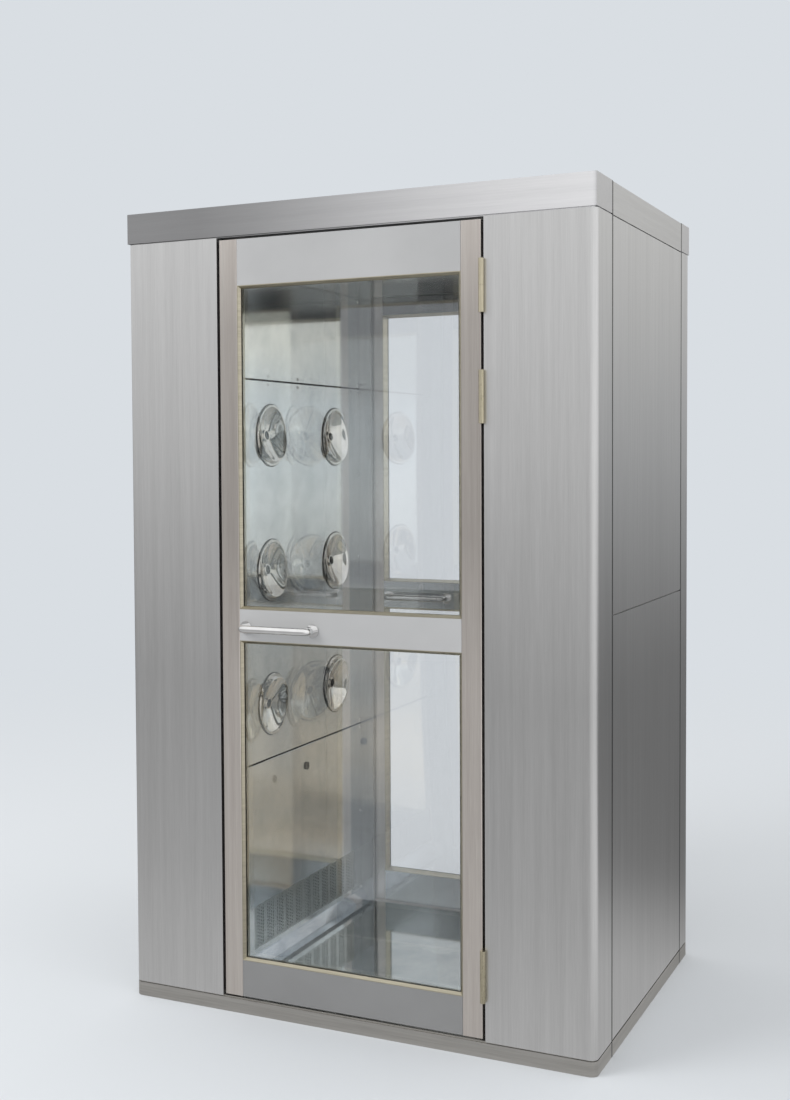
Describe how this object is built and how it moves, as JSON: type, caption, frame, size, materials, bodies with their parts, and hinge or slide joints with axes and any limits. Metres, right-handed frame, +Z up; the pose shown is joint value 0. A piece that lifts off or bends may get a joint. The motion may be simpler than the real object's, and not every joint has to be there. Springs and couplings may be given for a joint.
{
  "type": "cleanroom air shower",
  "caption": "Walk-in stainless air shower cabin with glazed doors at both ends, aimed air nozzles and low return air grilles in its chamber walls.",
  "frame": {"origin": "on the ground below the middle of the cabin", "axes": "+X across the cabin to the right of the front door, -Y out of the front door, +Z up"},
  "size_m": [1.3, 1.089, 2.15],
  "materials": {
    "panel_steel": "vertically brushed stainless sheet",
    "header_steel": "horizontally brushed stainless sheet",
    "base_steel": "brushed stainless sheet",
    "frame_steel": "satin stainless sheet",
    "lining_steel": "bright rolled stainless sheet",
    "floor_steel": "bright rolled stainless sheet",
    "stile_steel": "satin stainless profile",
    "rail_steel": "flat satin grey",
    "bead_aluminium": "satin glazing bead",
    "door_glass": "clear toughened glass",
    "polished_chrome": "mirror polished stainless",
    "hinge_steel": "satin nickel with a warm tone",
    "seal_rubber": "black rubber seal",
    "sensor_plastic": "black sensor housing"
  },
  "bodies": {
    "cabinet": {"base_frame": "base_steel", "floor_plate": "floor_steel", "floor_skirting": "floor_steel", "header_front": "header_steel", "header_rear": "header_steel", "header_sides": "header_steel", "roof_panel": "panel_steel", "ceiling_panel": "lining_steel", "front_corner_panels": "panel_steel", "rear_corner_panels": "panel_steel", "right_side_panels": "panel_steel", "left_side_panels": "panel_steel", "upper_wall_panels": "lining_steel", "nozzle_panels": "lining_steel", "return_panels": "lining_steel", "return_grilles": "lining_steel", "photo_sensors": "sensor_plastic", "front_door_frame": "frame_steel", "rear_door_frame": "frame_steel", "front_door_stop": "frame_steel", "rear_door_stop": "frame_steel", "door_seals": "seal_rubber", "right_nozzle_rings": "polished_chrome", "left_nozzle_rings": "polished_chrome", "hinge_frame_halves": "hinge_steel"},
    "front_door": {"front_door_stiles": "stile_steel", "front_door_rails": "rail_steel", "front_door_glass": "door_glass", "front_door_beads": "bead_aluminium", "front_door_pulls": "polished_chrome", "front_door_hinge_halves": "hinge_steel"},
    "rear_door": {"rear_door_stiles": "stile_steel", "rear_door_rails": "rail_steel", "rear_door_glass": "door_glass", "rear_door_beads": "bead_aluminium", "rear_door_pulls": "polished_chrome", "rear_door_hinge_halves": "hinge_steel"},
    "nozzle_right_low_front": {"nozzle_right_low_front": "polished_chrome"},
    "nozzle_right_low_rear": {"nozzle_right_low_rear": "polished_chrome"},
    "nozzle_right_middle_front": {"nozzle_right_middle_front": "polished_chrome"},
    "nozzle_right_middle_rear": {"nozzle_right_middle_rear": "polished_chrome"},
    "nozzle_right_high_front": {"nozzle_right_high_front": "polished_chrome"},
    "nozzle_right_high_rear": {"nozzle_right_high_rear": "polished_chrome"},
    "nozzle_left_low_front": {"nozzle_left_low_front": "polished_chrome"},
    "nozzle_left_low_rear": {"nozzle_left_low_rear": "polished_chrome"},
    "nozzle_left_middle_front": {"nozzle_left_middle_front": "polished_chrome"},
    "nozzle_left_middle_rear": {"nozzle_left_middle_rear": "polished_chrome"},
    "nozzle_left_high_front": {"nozzle_left_high_front": "polished_chrome"},
    "nozzle_left_high_rear": {"nozzle_left_high_rear": "polished_chrome"}
  },
  "joints": [
    {"name": "door_front_swing", "type": "hinge", "parent": "cabinet", "child": "front_door", "pos_m": [0.368, -0.508, 0], "axis": [0, 0, 1], "range_deg": [0, 110]},
    {"name": "door_rear_swing", "type": "hinge", "parent": "cabinet", "child": "rear_door", "pos_m": [0.368, 0.508, 0], "axis": [0, 0, -1], "range_deg": [0, 110]},
    {"name": "nozzle_right_low_front_tilt", "type": "hinge", "parent": "cabinet", "child": "nozzle_right_low_front", "pos_m": [0.40015, -0.172, 0.78], "axis": [0, 1, 0], "range_deg": [-4, 16]},
    {"name": "nozzle_right_low_rear_tilt", "type": "hinge", "parent": "cabinet", "child": "nozzle_right_low_rear", "pos_m": [0.40015, 0.252, 0.78], "axis": [0, 1, 0], "range_deg": [-4, 16]},
    {"name": "nozzle_right_middle_front_tilt", "type": "hinge", "parent": "cabinet", "child": "nozzle_right_middle_front", "pos_m": [0.40015, -0.172, 1.165], "axis": [0, 1, 0], "range_deg": [-16, 4]},
    {"name": "nozzle_right_middle_rear_tilt", "type": "hinge", "parent": "cabinet", "child": "nozzle_right_middle_rear", "pos_m": [0.40015, 0.252, 1.165], "axis": [0, 1, 0], "range_deg": [-16, 4]},
    {"name": "nozzle_right_high_front_tilt", "type": "hinge", "parent": "cabinet", "child": "nozzle_right_high_front", "pos_m": [0.40015, -0.172, 1.55], "axis": [0, 1, 0], "range_deg": [-19, 1]},
    {"name": "nozzle_right_high_rear_tilt", "type": "hinge", "parent": "cabinet", "child": "nozzle_right_high_rear", "pos_m": [0.40015, 0.252, 1.55], "axis": [0, 1, 0], "range_deg": [-19, 1]},
    {"name": "nozzle_left_low_front_tilt", "type": "hinge", "parent": "cabinet", "child": "nozzle_left_low_front", "pos_m": [-0.40015, -0.172, 0.78], "axis": [0, -1, 0], "range_deg": [-4, 16]},
    {"name": "nozzle_left_low_rear_tilt", "type": "hinge", "parent": "cabinet", "child": "nozzle_left_low_rear", "pos_m": [-0.40015, 0.252, 0.78], "axis": [0, -1, 0], "range_deg": [-4, 16]},
    {"name": "nozzle_left_middle_front_tilt", "type": "hinge", "parent": "cabinet", "child": "nozzle_left_middle_front", "pos_m": [-0.40015, -0.172, 1.165], "axis": [0, -1, 0], "range_deg": [-16, 4]},
    {"name": "nozzle_left_middle_rear_tilt", "type": "hinge", "parent": "cabinet", "child": "nozzle_left_middle_rear", "pos_m": [-0.40015, 0.252, 1.165], "axis": [0, -1, 0], "range_deg": [-16, 4]},
    {"name": "nozzle_left_high_front_tilt", "type": "hinge", "parent": "cabinet", "child": "nozzle_left_high_front", "pos_m": [-0.40015, -0.172, 1.55], "axis": [0, -1, 0], "range_deg": [-19, 1]},
    {"name": "nozzle_left_high_rear_tilt", "type": "hinge", "parent": "cabinet", "child": "nozzle_left_high_rear", "pos_m": [-0.40015, 0.252, 1.55], "axis": [0, -1, 0], "range_deg": [-19, 1]}
  ]
}
